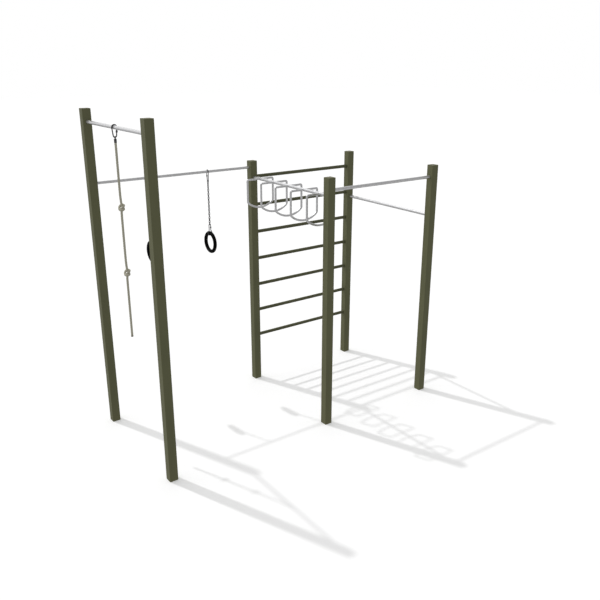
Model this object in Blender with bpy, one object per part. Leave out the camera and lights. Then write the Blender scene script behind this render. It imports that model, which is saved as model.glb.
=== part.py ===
"""Outdoor exercise frame: six box-section posts joined by bars, a wall ladder, a row of hanging
hand grips, a climbing rope and two gym rings. Metres, +Z up. +X runs along the long side towards
the ladder, +Y towards the back. The origin is the bottom centre of the object's box."""

import math

import bmesh
import bpy
from mathutils import Vector

GAP = 0.0003  # clearance that touching pieces keep

# Layout of the posts: two rows, three columns
RING_BAY = 1.7235  # rope posts to middle posts, centre to centre
LADDER_BAY = 1.3235  # middle posts to end posts
DEPTH = 1.322  # back row to front row
TALL_HEIGHT = 3.100
LOW_HEIGHT = 2.500

POST_SIDE = 0.080
POST_WALL = 0.004
POST_CORNER = 0.006
CORNER_STEPS = 2
CAP_THICKNESS = 0.003
CAP_CHAMFER = 0.001
CAP_SKIRT_HEIGHT = 0.014
CAP_SKIRT_WALL = 0.003
FOOT_THICKNESS = 0.008
ANCHOR_HOLE_RADIUS = 0.009

# Bars
BAR_DIAMETER = 0.032
RING_BEAM_DIAMETER = 0.027
RUNG_DIAMETER = 0.036
BAR_WALL = 0.003
BAR_INSERT = 0.015  # how far a bar reaches past the inside of a post's wall
BAR_SIDES = 16
ROPE_BEAM_Z = 2.985
RING_BEAM_Z = 2.433
SPINE_Z = 2.330
FRONT_BAR_Z = 2.382
END_BAR_Z = 1.983
RUNG_COUNT = 7
FIRST_RUNG_Z = 0.530
RUNG_PITCH = 0.3005

# Hand grips: closed D loops of round rod, threaded through the spine
GRIP_COUNT = 5
GRIP_PITCH = 0.258
GRIP_ROW_SHIFT = -0.011  # middle of the row of grips, from the middle of the spine
GRIP_ROD_RADIUS = 0.0105
GRIP_HALF_WIDTH = 0.156
GRIP_SIDE_HEIGHT = 0.234
GRIP_BELLY = 0.062
GRIP_TOP_BEND = 0.018
GRIP_LOWER_BEND = 0.026
GRIP_BELLY_STEPS = 10
GRIP_SIDES = 8

# Links, nuts and chains
WIRE_RADIUS = 0.003  # of the chains and the rope's eye
RING_LINK_WIRE = 0.0036
ROPE_LINK_WIRE = 0.005
WIRE_SIDES = 6
LINK_PLAY = 0.0004  # between a link and the bar or ring that it goes round
HUNG_PLAY = 0.0008  # between two links, where one hangs in the other
LINK_OPENING = 0.005  # the gap in a link's leg, inside its nut
NUT_LENGTH = 0.017
NUT_CORNER_EXTRA = 0.0035  # from a link's wire to the corners of its nut
RING_LINK_EYE = 0.0115  # centre line of the smaller lower arc of a link that goes round a beam
ROPE_LINK_EYE = 0.0145
ROPE_LINK_DROP = 0.080  # beam axis to the middle of the link's lowest wire
RING_LINK_DROP = 0.099
HANGER_TOP_RADIUS = 0.0095
HANGER_NECK = 0.030  # where a hanger's legs part, above the middle of the ring's section
HANGER_BEND = 0.012
CHAIN_LINKS = 22
CHAIN_PITCH = 0.0205
CHAIN_FUSE = 0.0014  # how much deeper each link sits in the next, which makes them one body
CHAIN_HALF_WIDTH = 0.00725  # link centre line to chain axis
CHAIN_WIRE_CORNER = 0.0036  # half diagonal of a square section about as thick as the round wire

# Rings
RING_OUTER_DIAMETER = 0.235
RING_SECTION_RADIUS = 0.0185
RING_STEPS = 28
RING_SIDES = 8
RING_LEFT_X = -0.9825
RING_RIGHT_X = -0.3307
RING_TUBE_TOP = 1.797  # middle of the ring's section at its highest point

# Climbing rope
ROPE_RADIUS = 0.010
ROPE_END_Z = 1.140
EYE_INNER_RADIUS = 0.007
SHANK_RADIUS = 0.0094
SHANK_HEIGHT = 0.013
FERRULE_RADIUS = 0.012
FERRULE_BORE = 0.0103
FERRULE_LENGTH = 0.031
ROPE_IN_FERRULE = 0.017
KNOT_HEIGHT = 0.046
KNOT_SIDES = 12
UPPER_KNOT_Z = 2.322
UPPER_KNOT_RADIUS = 0.027
LOWER_KNOT_Z = 1.745
LOWER_KNOT_RADIUS = 0.030
END_CAP_HEIGHT = 0.014
END_CAP_WALL = 0.0006
END_CAP_FLOOR = 0.0015
ROPE_POINT_SPACING = 0.045

# The rings reach further back than the posts, so the post rows stand forward of the box's middle
MIDDLE_Y = (POST_SIDE - RING_OUTER_DIAMETER) / 4
BACK = MIDDLE_Y + DEPTH / 2
FRONT = MIDDLE_Y - DEPTH / 2
ROPE_X = -(RING_BAY + LADDER_BAY) / 2
MIDDLE_X = ROPE_X + RING_BAY
END_X = -ROPE_X
RING_RADIUS = RING_OUTER_DIAMETER / 2 - RING_SECTION_RADIUS
ROPE_LINK_RADIUS = BAR_DIAMETER / 2 + LINK_PLAY + ROPE_LINK_WIRE
RING_LINK_RADIUS = RING_BEAM_DIAMETER / 2 + LINK_PLAY + RING_LINK_WIRE
HANGER_RADIUS = RING_SECTION_RADIUS + LINK_PLAY + RING_LINK_WIRE
# Wire centre to wire centre where a chain or an eye hangs in a link
CHAIN_STEP = WIRE_RADIUS + RING_LINK_WIRE + HUNG_PLAY
EYE_STEP = WIRE_RADIUS + ROPE_LINK_WIRE + HUNG_PLAY

FACES = {"+X": (1, 0), "-X": (-1, 0), "+Y": (0, 1), "-Y": (0, -1)}
UP = Vector((0, 0, 1))
ALONG_X = (0, math.pi / 2, 0)
ALONG_Y = (-math.pi / 2, 0, 0)
QUARTER_TURN = (0, 0, math.pi / 2)


def clear_scene():
    for old in list(bpy.data.objects):
        bpy.data.objects.remove(old, do_unlink=True)


def material(name, colour, roughness, metallic):
    made = bpy.data.materials.new(name)
    made.use_nodes = True
    shader = made.node_tree.nodes["Principled BSDF"]
    shader.inputs["Base Color"].default_value = (*colour, 1)
    shader.inputs["Roughness"].default_value = roughness
    shader.inputs["Metallic"].default_value = metallic
    return made


def add_object(name, data, finish, location=(0, 0, 0), rotation=(0, 0, 0), parent=None):
    data.materials.append(finish)
    made = bpy.data.objects.new(name, data)
    made.location = location
    made.rotation_euler = rotation
    made.parent = parent
    bpy.context.collection.objects.link(made)
    return made


def add_pivot(name, location):
    """An empty on a joint's axis, which carries the pieces that swing there."""
    pivot = bpy.data.objects.new(name, None)
    pivot.location = location
    bpy.context.collection.objects.link(pivot)
    return pivot


def make_cutter(name, data, location=(0, 0, 0), rotation=(0, 0, 0)):
    cutter = bpy.data.objects.new(name, data)
    cutter.location = location
    cutter.rotation_euler = rotation
    cutter.hide_render = True
    cutter.display_type = "WIRE"
    bpy.context.collection.objects.link(cutter)
    return cutter


def boolean(target, other, operation):
    step = target.modifiers.new(other.name, "BOOLEAN")
    step.object = other
    step.operation = operation
    step.solver = "EXACT"


def mesh_from(name, shapes):
    """One mesh from lofts, each (rings, cyclic): rings of equal length, bridged in order.
    A cyclic loft also joins its last ring to its first, and any other gets two end faces."""
    work = bmesh.new()
    for rings, cyclic in shapes:
        loops = [[work.verts.new(point) for point in ring] for ring in rings]
        for lower, upper in zip(loops, loops[1:] + loops[: int(cyclic)]):
            for i in range(len(lower)):
                j = (i + 1) % len(lower)
                work.faces.new((lower[i], lower[j], upper[j], upper[i]))
        if not cyclic:
            work.faces.new(loops[0])
            work.faces.new(loops[-1])
    bmesh.ops.recalc_face_normals(work, faces=work.faces)
    made = bpy.data.meshes.new(name)
    work.to_mesh(made)
    work.free()
    made.shade_smooth()
    made.set_sharp_from_angle(angle=math.radians(40))
    return made


def circle(radius, z, sides):
    turns = [2 * math.pi * (i + 0.5) / sides for i in range(sides)]
    return [Vector((radius * math.cos(a), radius * math.sin(a), z)) for a in turns]


def rounded_square(side, corner, z):
    points = []
    for quarter in range(4):
        middle = math.pi / 4 + quarter * math.pi / 2
        offset = (side / 2 - corner) * math.sqrt(2)
        x = offset * math.cos(middle)
        y = offset * math.sin(middle)
        for step in range(CORNER_STEPS + 1):
            turn = quarter * math.pi / 2 + step * math.pi / 2 / CORNER_STEPS
            points.append(Vector((x + corner * math.cos(turn), y + corner * math.sin(turn), z)))
    return points


def arc(centre, radius, start, end, steps):
    """Points in the XZ plane, from the angle start to the angle end, in degrees."""
    turns = [math.radians(start + (end - start) * i / steps) for i in range(steps + 1)]
    return [(centre[0] + radius * math.cos(a), centre[1] + radius * math.sin(a)) for a in turns]


def rod(path, radius, sides, cyclic):
    """A loft of circles along a path of (x, z) points, mitred where the path bends."""
    points = [Vector((x, 0, z)) for x, z in path]
    count = len(points)
    rings = []
    for i, point in enumerate(points):
        before = points[i - 1] if cyclic or i > 0 else point
        after = points[(i + 1) % count] if cyclic or i < count - 1 else point
        into = (point - before).normalized() if point != before else (after - point).normalized()
        out = (after - point).normalized() if after != point else into
        tangent = (into + out).normalized()
        across = Vector((tangent.z, 0, -tangent.x)) / max(tangent.dot(into), 0.5)
        side = Vector((0, 1, 0))
        turns = [2 * math.pi * (k + 0.5) / sides for k in range(sides)]
        rings.append([point + radius * (across * math.cos(a) + side * math.sin(a)) for a in turns])
    return rings, cyclic


def fillet(path, bends, steps=3):
    """The closed path of (x, z) points with the corners in bends {index: radius} rounded."""
    rounded = []
    for i, corner in enumerate(path):
        if i not in bends:
            rounded.append(corner)
            continue
        point = Vector(corner)
        into = (point - Vector(path[i - 1])).normalized()
        out = (Vector(path[(i + 1) % len(path)]) - point).normalized()
        half_turn = into.angle(out) / 2
        start = point - into * bends[i] * math.tan(half_turn)
        inward = (out - into).normalized()
        centre = point + inward * bends[i] / math.cos(half_turn)
        spoke = start - centre
        sense = 1 if into.cross(out) > 0 else -1
        for step in range(steps + 1):
            turn = sense * 2 * half_turn * step / steps
            x = spoke.x * math.cos(turn) - spoke.y * math.sin(turn)
            z = spoke.x * math.sin(turn) + spoke.y * math.cos(turn)
            rounded.append((centre.x + x, centre.y + z))
    return rounded


def tube(name, outer, inner, length, sides):
    """A hollow round bar along Z, centred on the origin."""
    half = length / 2
    rings = [
        circle(outer, -half, sides),
        circle(outer, half, sides),
        circle(inner, half, sides),
        circle(inner, -half, sides),
    ]
    return mesh_from(name, [(rings, True)])


# Posts, caps and foot plates


RUNG_HEIGHTS = [FIRST_RUNG_Z + i * RUNG_PITCH for i in range(RUNG_COUNT)]

# The bars that end in each post: the face they enter, their height and their diameter
BAR_ENDS = {
    "rope_back": [("-Y", ROPE_BEAM_Z, BAR_DIAMETER), ("+X", RING_BEAM_Z, RING_BEAM_DIAMETER)],
    "rope_front": [("+Y", ROPE_BEAM_Z, BAR_DIAMETER)],
    "middle_back": [("-Y", SPINE_Z, BAR_DIAMETER), ("-X", RING_BEAM_Z, RING_BEAM_DIAMETER)]
    + [("+X", z, RUNG_DIAMETER) for z in RUNG_HEIGHTS],
    "middle_front": [("+Y", SPINE_Z, BAR_DIAMETER), ("+X", FRONT_BAR_Z, BAR_DIAMETER)],
    "end_back": [("-Y", END_BAR_Z, BAR_DIAMETER)] + [("-X", z, RUNG_DIAMETER) for z in RUNG_HEIGHTS],
    "end_front": [("+Y", END_BAR_Z, BAR_DIAMETER), ("-X", FRONT_BAR_Z, BAR_DIAMETER)],
}


def hole_cutter(place, location):
    """Short plugs across the post's walls, one for each bar that ends there."""
    inside = POST_SIDE / 2 - POST_WALL - 0.004
    outside = POST_SIDE / 2 + 0.004
    plugs = []
    for face, z, diameter in BAR_ENDS[place]:
        outward = Vector((*FACES[face], 0))
        across = UP.cross(outward)
        radius = (diameter / 2 + GAP) / math.cos(math.pi / BAR_SIDES)
        rings = []
        for reach in (inside, outside):
            flat = circle(radius, 0, BAR_SIDES)
            rings.append([outward * reach + across * p.x + UP * (z + p.y) for p in flat])
        plugs.append((rings, False))
    return make_cutter("holes_" + place, mesh_from("holes_" + place, plugs), location)


def add_post(place, x, y, height, paint):
    inner_side = POST_SIDE - 2 * POST_WALL
    inner_corner = POST_CORNER - POST_WALL
    top = height - CAP_THICKNESS - GAP
    rings = [
        rounded_square(POST_SIDE, POST_CORNER, 0),
        rounded_square(POST_SIDE, POST_CORNER, top),
        rounded_square(inner_side, inner_corner, top),
        rounded_square(inner_side, inner_corner, 0),
    ]
    post = add_object("post_" + place, mesh_from("post_" + place, [(rings, True)]), paint, (x, y, 0))
    boolean(post, hole_cutter(place, (x, y, 0)), "DIFFERENCE")


def add_cap(place, x, y, height, paint):
    skirt_side = POST_SIDE - 2 * POST_WALL - 2 * GAP
    skirt_corner = POST_CORNER - POST_WALL
    hollow_side = skirt_side - 2 * CAP_SKIRT_WALL
    under = -CAP_THICKNESS
    bottom = under - CAP_SKIRT_HEIGHT
    rings = [
        rounded_square(hollow_side, skirt_corner / 2, under),
        rounded_square(hollow_side, skirt_corner / 2, bottom),
        rounded_square(skirt_side, skirt_corner, bottom),
        rounded_square(skirt_side, skirt_corner, under),
        rounded_square(POST_SIDE, POST_CORNER, under),
        rounded_square(POST_SIDE, POST_CORNER, -CAP_CHAMFER),
        rounded_square(POST_SIDE - 2 * CAP_CHAMFER, POST_CORNER - CAP_CHAMFER, 0),
    ]
    add_object("cap_" + place, mesh_from("cap_" + place, [(rings, False)]), paint, (x, y, height))


def add_foot_plate(place, x, y, finish):
    side = POST_SIDE - 2 * POST_WALL - 2 * GAP
    corner = POST_CORNER - POST_WALL
    sides = 4 * (CORNER_STEPS + 1)
    rings = [
        rounded_square(side, corner, 0),
        rounded_square(side, corner, FOOT_THICKNESS),
        circle(ANCHOR_HOLE_RADIUS, FOOT_THICKNESS, sides),
        circle(ANCHOR_HOLE_RADIUS, 0, sides),
    ]
    name = "foot_plate_" + place
    add_object(name, mesh_from(name, [(rings, True)]), finish, (x, y, 0))


def add_posts(paint, steel):
    columns = {"rope": (ROPE_X, TALL_HEIGHT), "middle": (MIDDLE_X, LOW_HEIGHT), "end": (END_X, LOW_HEIGHT)}
    for column, (x, height) in columns.items():
        for row, y in (("back", BACK), ("front", FRONT)):
            place = column + "_" + row
            add_post(place, x, y, height, paint)
            add_cap(place, x, y, height, paint)
            add_foot_plate(place, x, y, steel)


# Bars, rungs and hand grips


def add_bar(name, diameter, span, location, rotation, finish):
    length = span - POST_SIDE + 2 * (POST_WALL + BAR_INSERT)
    mesh = tube(name, diameter / 2, diameter / 2 - BAR_WALL, length, BAR_SIDES)
    return add_object(name, mesh, finish, location, rotation)


def add_bars(finish):
    ring_bay_x = (ROPE_X + MIDDLE_X) / 2
    ladder_bay_x = (MIDDLE_X + END_X) / 2
    add_bar("rope_beam", BAR_DIAMETER, DEPTH, (ROPE_X, MIDDLE_Y, ROPE_BEAM_Z), ALONG_Y, finish)
    add_bar("ring_beam", RING_BEAM_DIAMETER, RING_BAY, (ring_bay_x, BACK, RING_BEAM_Z), ALONG_X, finish)
    front = (ladder_bay_x, FRONT, FRONT_BAR_Z)
    add_bar("pullup_bar_front", BAR_DIAMETER, LADDER_BAY, front, ALONG_X, finish)
    add_bar("pullup_bar_end", BAR_DIAMETER, DEPTH, (END_X, MIDDLE_Y, END_BAR_Z), ALONG_Y, finish)
    place = (MIDDLE_X, MIDDLE_Y, SPINE_Z)
    return add_bar("grip_spine", BAR_DIAMETER, DEPTH, place, ALONG_Y, finish)


def add_ladder(paint):
    x = (MIDDLE_X + END_X) / 2
    for i, z in enumerate(RUNG_HEIGHTS):
        add_bar(f"ladder_rung_{i + 1}", RUNG_DIAMETER, LADDER_BAY, (x, BACK, z), ALONG_X, paint)


def grip_path():
    """The grip's centre line about the spine's axis: straight top, two sides, a shallow belly."""
    belly_radius = (GRIP_HALF_WIDTH**2 + GRIP_BELLY**2) / (2 * GRIP_BELLY)
    half_angle = math.degrees(math.asin(GRIP_HALF_WIDTH / belly_radius))
    centre = (0, belly_radius - GRIP_SIDE_HEIGHT - GRIP_BELLY)
    belly = arc(centre, belly_radius, 270 - half_angle, 270 + half_angle, GRIP_BELLY_STEPS)
    corners = [(GRIP_HALF_WIDTH, 0), (-GRIP_HALF_WIDTH, 0)]
    last = len(belly) + 1
    bends = {0: GRIP_TOP_BEND, 1: GRIP_TOP_BEND, 2: GRIP_LOWER_BEND, last: GRIP_LOWER_BEND}
    return fillet(corners + belly, bends)


def add_grips(spine, finish):
    mesh = mesh_from("hand_grip", [rod(grip_path(), GRIP_ROD_RADIUS, GRIP_SIDES, True)])
    sides = 12
    bore = (GRIP_ROD_RADIUS + GAP) / math.cos(math.pi / sides)
    drills = []
    for i in range(GRIP_COUNT):
        y = GRIP_ROW_SHIFT + ((GRIP_COUNT - 1) / 2 - i) * GRIP_PITCH
        add_object(f"hand_grip_{i + 1}", mesh.copy(), finish, (MIDDLE_X, MIDDLE_Y + y, SPINE_Z))
        ends = [[Vector((x, y + p.x, p.y)) for p in circle(bore, 0, sides)] for x in (-0.02, 0.02)]
        drills.append((ends, False))
    cutter = make_cutter("spine_drills", mesh_from("spine_drills", drills), spine.location)
    boolean(spine, cutter, "DIFFERENCE")


# Links, nuts and chains, each in its own XZ plane


def link_path(top, top_radius, bottom, bottom_radius):
    """An open loop of two arcs, with centres at heights top and bottom on the Z axis, and two
    straight legs. It starts and ends at the opening in its +X leg."""
    lean = math.asin((bottom_radius - top_radius) / (top - bottom))
    degrees = math.degrees(lean)
    upper = arc((0, top), top_radius, degrees, 180 - degrees, 8)
    lower = arc((0, bottom), bottom_radius, 180 - degrees, 360 + degrees, 8)
    middle = (Vector(upper[0]) + Vector(lower[-1])) / 2
    leg = Vector((-math.sin(lean), math.cos(lean)))
    start = middle + leg * LINK_OPENING / 2
    end = middle - leg * LINK_OPENING / 2
    return [tuple(start)] + upper + lower + [tuple(end)], middle, lean


def hanger_path(top, neck, bottom):
    """An open loop like link_path's, with a narrow neck: straight legs under a small upper arc, which
    part at the height neck and run out to the wide lower arc round a ring."""
    rise = neck - bottom
    reach = math.hypot(HANGER_TOP_RADIUS, rise)
    touch = math.atan2(rise, HANGER_TOP_RADIUS) - math.acos(HANGER_RADIUS / reach)
    upper = arc((0, top), HANGER_TOP_RADIUS, 0, 180, 8)
    lower = arc((0, bottom), HANGER_RADIUS, 180 - math.degrees(touch), 360 + math.degrees(touch), 12)
    middle = Vector((HANGER_TOP_RADIUS, (top + neck) / 2))
    half = Vector((0, LINK_OPENING / 2))
    ends = [(HANGER_TOP_RADIUS, neck), tuple(middle - half)]
    path = [tuple(middle + half), *upper, (-HANGER_TOP_RADIUS, neck), *lower, *ends]
    bends = {len(upper) + 1: HANGER_BEND, len(path) - 2: HANGER_BEND}
    return fillet(path, bends), middle, 0


def add_link(name, nut_name, shape, wire, turned, steel, location=(0, 0, 0), parent=None):
    path, middle, lean = shape
    rotation = QUARTER_TURN if turned else (0, 0, 0)
    mesh = mesh_from(name, [rod(path, wire, WIRE_SIDES, False)])
    link = add_object(name, mesh, steel, location, rotation, parent)
    sides = 12
    bore = (wire + GAP) / math.cos(math.pi / sides)
    corner = wire + NUT_CORNER_EXTRA
    flat = corner * math.cos(math.pi / 6)
    turns = [math.pi * k / 6 for k in range(sides)]
    hexagon = [(math.cos(a), math.sin(a), flat if k % 2 else corner) for k, a in enumerate(turns)]
    rings = []
    for z in (-NUT_LENGTH / 2, NUT_LENGTH / 2):
        rings.append([Vector((c * r, s * r, z)) for c, s, r in hexagon])
    for z in (NUT_LENGTH / 2, -NUT_LENGTH / 2):
        rings.append([Vector((c * bore, s * bore, z)) for c, s, _ in hexagon])
    nut = add_object(nut_name, mesh_from(nut_name, [(rings, True)]), steel, parent=link)
    nut.location = (middle.x, 0, middle.y)
    nut.rotation_euler = (0, -lean, 0)
    return link


def chain_mesh(name, first):
    """Every second link of the chain, from the link with the index first, hanging from z = 0."""
    half_straight = (CHAIN_PITCH - CHAIN_FUSE) / 2 + WIRE_RADIUS - CHAIN_HALF_WIDTH
    upper = arc((0, half_straight), CHAIN_HALF_WIDTH, 0, 180, 4)
    lower = arc((0, -half_straight), CHAIN_HALF_WIDTH, 180, 360, 4)
    rings, cyclic = rod(upper + lower, CHAIN_WIRE_CORNER, 4, True)
    links = []
    for i in range(first, CHAIN_LINKS, 2):
        z = -(half_straight + CHAIN_HALF_WIDTH) - i * CHAIN_PITCH
        placed = [[Vector((p.x, p.y, p.z + z)) for p in ring] for ring in rings]
        if first % 2:
            placed = [[Vector((-p.y, p.x, p.z)) for p in ring] for ring in placed]
        links.append((placed, cyclic))
    return mesh_from(name, links)


def add_chain(name, location, parent, steel):
    chain = add_object(name, chain_mesh(name, 0), steel, location, parent=parent)
    others = make_cutter(name + "_others", chain_mesh(name + "_others", 1))
    others.parent = chain
    boolean(chain, others, "UNION")


# Gym rings


def add_ring_set(side, x, steel, rubber):
    beam = (x, BACK, RING_BEAM_Z)
    shape = link_path(0, RING_LINK_RADIUS, RING_LINK_EYE - RING_LINK_DROP, RING_LINK_EYE)
    names = ("ring_link_" + side, "ring_link_nut_" + side)
    add_link(*names, shape, RING_LINK_WIRE, True, steel, beam)

    pivot_z = RING_BEAM_Z - RING_LINK_DROP
    pivot = add_pivot("chain_pivot_" + side, (x, BACK, pivot_z))
    add_chain("ring_chain_" + side, (0, 0, CHAIN_STEP), pivot, steel)

    inner_length = CHAIN_PITCH - CHAIN_FUSE
    last_wire = CHAIN_STEP - (CHAIN_LINKS - 1) * CHAIN_PITCH - inner_length - 2 * WIRE_RADIUS
    ring_z = RING_TUBE_TOP - pivot_z
    shape = hanger_path(last_wire + CHAIN_STEP - HANGER_TOP_RADIUS, ring_z + HANGER_NECK, ring_z)
    names = ("ring_hanger_" + side, "ring_hanger_nut_" + side)
    add_link(*names, shape, RING_LINK_WIRE, False, steel, parent=pivot)

    path = arc((0, -RING_RADIUS), RING_RADIUS, 0, 360 - 360 / RING_STEPS, RING_STEPS - 1)
    mesh = mesh_from("gym_ring_" + side, [rod(path, RING_SECTION_RADIUS, RING_SIDES, True)])
    place = (x, BACK, RING_TUBE_TOP)
    add_object("gym_ring_" + side, mesh, rubber, place, QUARTER_TURN)


# Climbing rope


def knot_mesh(name, radius):
    """A bead round the rope with the outer shape of the knot."""
    bore = (ROPE_RADIUS + GAP) / math.cos(math.pi / KNOT_SIDES)
    half = KNOT_HEIGHT / 2
    profile = [(0.50, 1.0), (0.80, 0.78), (1.0, 0.35), (1.0, -0.35), (0.80, -0.78), (0.50, -1.0)]
    rings = [circle(bore, -half, KNOT_SIDES), circle(bore, half, KNOT_SIDES)]
    rings += [circle(radius * share, half * height, KNOT_SIDES) for share, height in profile]
    return mesh_from(name, [(rings, True)])


def add_rope(steel, rope, dark):
    shape = link_path(0, ROPE_LINK_RADIUS, ROPE_LINK_EYE - ROPE_LINK_DROP, ROPE_LINK_EYE)
    beam = (ROPE_X, MIDDLE_Y, ROPE_BEAM_Z)
    add_link("rope_link", "rope_link_nut", shape, ROPE_LINK_WIRE, False, steel, beam)

    pivot_z = ROPE_BEAM_Z - ROPE_LINK_DROP
    pivot = add_pivot("rope_pivot", (ROPE_X, MIDDLE_Y, pivot_z))
    eye_radius = EYE_INNER_RADIUS + WIRE_RADIUS
    eye_z = EYE_STEP - eye_radius
    path = arc((0, eye_z), eye_radius, 0, 337.5, 15)
    eye_mesh = mesh_from("rope_eye", [rod(path, WIRE_RADIUS, WIRE_SIDES, True)])
    eye = add_object("rope_eye", eye_mesh, steel, rotation=QUARTER_TURN, parent=pivot)
    shank_top = eye_z - eye_radius
    rings = [circle(SHANK_RADIUS, shank_top, 20), circle(SHANK_RADIUS, shank_top - SHANK_HEIGHT, 20)]
    shank = make_cutter("rope_eye_shank", mesh_from("rope_eye_shank", [(rings, False)]))
    shank.parent = eye
    boolean(eye, shank, "UNION")

    ferrule_top = shank_top - WIRE_RADIUS / 2
    ferrule = tube("rope_ferrule", FERRULE_RADIUS, FERRULE_BORE, FERRULE_LENGTH, 20)
    place = (0, 0, ferrule_top - FERRULE_LENGTH / 2)
    add_object("rope_ferrule", ferrule, dark, place, parent=pivot)

    top = ferrule_top - FERRULE_LENGTH + ROPE_IN_FERRULE
    bottom = ROPE_END_Z - pivot_z + END_CAP_FLOOR + GAP
    count = round((top - bottom) / ROPE_POINT_SPACING) + 1
    curve = bpy.data.curves.new("climbing_rope", "CURVE")
    curve.dimensions = "3D"
    curve.bevel_depth = ROPE_RADIUS
    curve.bevel_resolution = 2
    curve.use_fill_caps = True
    spline = curve.splines.new("POLY")
    spline.points.add(count - 1)
    for i, point in enumerate(spline.points):
        point.co = (0, 0, top + (bottom - top) * i / (count - 1), 1)
    add_object("climbing_rope", curve, rope, parent=pivot)

    knots = (("upper", UPPER_KNOT_Z, UPPER_KNOT_RADIUS), ("lower", LOWER_KNOT_Z, LOWER_KNOT_RADIUS))
    for place, z, radius in knots:
        name = "rope_knot_" + place
        add_object(name, knot_mesh(name, radius), rope, (0, 0, z - pivot_z), parent=pivot)

    inner = ROPE_RADIUS + 2 * GAP
    outer = inner + END_CAP_WALL
    rings = [
        circle(inner, END_CAP_FLOOR, 16),
        circle(inner, END_CAP_HEIGHT, 16),
        circle(outer, END_CAP_HEIGHT, 16),
        circle(outer, 0, 16),
    ]
    cap = mesh_from("rope_end_cap", [(rings, False)])
    add_object("rope_end_cap", cap, dark, (0, 0, ROPE_END_Z - pivot_z), parent=pivot)


def main():
    clear_scene()
    paint = material("olive_paint", (0.105, 0.108, 0.062), 0.55, 0.0)
    galvanised = material("galvanised_steel", (0.42, 0.42, 0.43), 0.45, 0.9)
    dark_steel = material("dark_steel", (0.12, 0.12, 0.125), 0.5, 0.8)
    rubber = material("black_rubber", (0.012, 0.012, 0.012), 0.7, 0.0)
    hemp = material("hemp_rope", (0.27, 0.25, 0.19), 0.9, 0.0)
    add_posts(paint, galvanised)
    spine = add_bars(galvanised)
    add_ladder(paint)
    add_grips(spine, galvanised)
    add_rope(dark_steel, hemp, dark_steel)
    add_ring_set("left", RING_LEFT_X, dark_steel, rubber)
    add_ring_set("right", RING_RIGHT_X, dark_steel, rubber)
    bpy.context.view_layer.update()


main()
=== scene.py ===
"""The finished look of the outdoor exercise frame: smooth posts and bars with their paint, zinc and
welds, real chain links and screw links, rubber rings, and a laid rope with two tied knots."""

import math

import bmesh
import bpy
import numpy as np
from mathutils import Matrix, Vector


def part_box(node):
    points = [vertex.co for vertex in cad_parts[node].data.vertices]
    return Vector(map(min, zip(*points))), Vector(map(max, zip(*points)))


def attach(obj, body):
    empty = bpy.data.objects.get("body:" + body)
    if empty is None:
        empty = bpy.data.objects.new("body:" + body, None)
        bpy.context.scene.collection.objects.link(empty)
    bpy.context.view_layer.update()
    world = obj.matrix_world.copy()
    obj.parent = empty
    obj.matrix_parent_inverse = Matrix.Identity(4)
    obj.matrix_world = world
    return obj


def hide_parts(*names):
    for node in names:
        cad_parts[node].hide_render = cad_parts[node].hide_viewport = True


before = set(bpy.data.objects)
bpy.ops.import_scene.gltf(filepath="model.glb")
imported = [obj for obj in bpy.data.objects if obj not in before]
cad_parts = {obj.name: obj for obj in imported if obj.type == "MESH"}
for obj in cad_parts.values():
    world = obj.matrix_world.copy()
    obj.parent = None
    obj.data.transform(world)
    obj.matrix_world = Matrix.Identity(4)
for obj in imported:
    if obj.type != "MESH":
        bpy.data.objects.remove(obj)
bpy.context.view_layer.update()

# Camera and light
CAMERA_PLACE = (-3.6835, -5.622, 3.526)
CAMERA_TURN = (math.radians(90 - 19.36), 0, math.radians(-35.82))
CAMERA_LENS = 41.5
SUN_TRAVEL = Vector((0.210, -0.540, -1.0))  # the way the sunlight goes
SUN_STRENGTH = 1.0
SUN_DEGREES = 1.2
BRIGHT_SIDE = (-0.2, 0.98, 0.0)
SKY_LEVELS = ((0.0, 0.36), (0.45, 0.46), (0.75, 0.75), (1.0, 0.98))  # from the dim side to the bright
GROUND_LEVEL = 0.53
HORIZON_BLEND = 0.12
FLOOR_GLOW = 0.29
FLOOR_HALF = 60.0

# Posts and bars
POST_SIDE = 0.080
POST_WALL = 0.004
POST_CORNER = 0.006
CAP_THICKNESS = 0.003
CAP_SKIRT_LOW = -0.017
CAP_SKIRT_WALL = 0.003
CAP_EDGE = 0.0012
GAP = 0.0003
BAR_WALL = 0.003
BAR_EDGE = 0.0008
BAR_DIAMETERS = {
    "rope_beam": 0.032,
    "ring_beam": 0.027,
    "grip_spine": 0.032,
    "pullup_bar_front": 0.032,
    "pullup_bar_end": 0.032,
}
RUNG_COUNT = 7
RUNG_DIAMETER = 0.036
WELD_RADIUS = 0.0026
WELD_RIPPLES = 24

# Hand grips
GRIP_COUNT = 5
GRIP_ROD_RADIUS = 0.0105
GRIP_HALF_WIDTH = 0.156
GRIP_SIDE_HEIGHT = 0.234
GRIP_BELLY = 0.062
GRIP_TOP_BEND = 0.0135
GRIP_LOWER_BEND = 0.022

# Links, chains and rings
WIRE_RADIUS = 0.003  # of the chains and the rope's eye
RING_LINK_WIRE = 0.004
ROPE_LINK_WIRE = 0.005
HUNG_STEP = WIRE_RADIUS + RING_LINK_WIRE  # wire centre to wire centre of a chain hung in a link
LINK_PLAY = 0.0004
LINK_OPENING = 0.005  # the gap in a link's leg, inside its nut
RING_LINK_EYE = 0.0115  # the smaller lower arc of a link that goes round a beam
ROPE_LINK_EYE = 0.0145
ROPE_LINK_DROP = 0.080  # beam axis to the middle of the link's lowest wire
RING_LINK_DROP = 0.099
NUT_LENGTH = 0.017
NUT_CORNER_EXTRA = 0.0035  # from a link's wire to the corners of its nut
THREAD_LENGTH = 0.006
THREAD_PITCH = 0.001
THREAD_DEPTH = 0.00035
HANGER_TOP_RADIUS = 0.0095
HANGER_NECK = 0.030  # where a hanger's legs part, above the middle of the ring's section
HANGER_BEND = 0.012
CHAIN_LINKS = 22
CHAIN_PITCH = 0.0205
CHAIN_HALF_WIDTH = 0.00725
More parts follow.
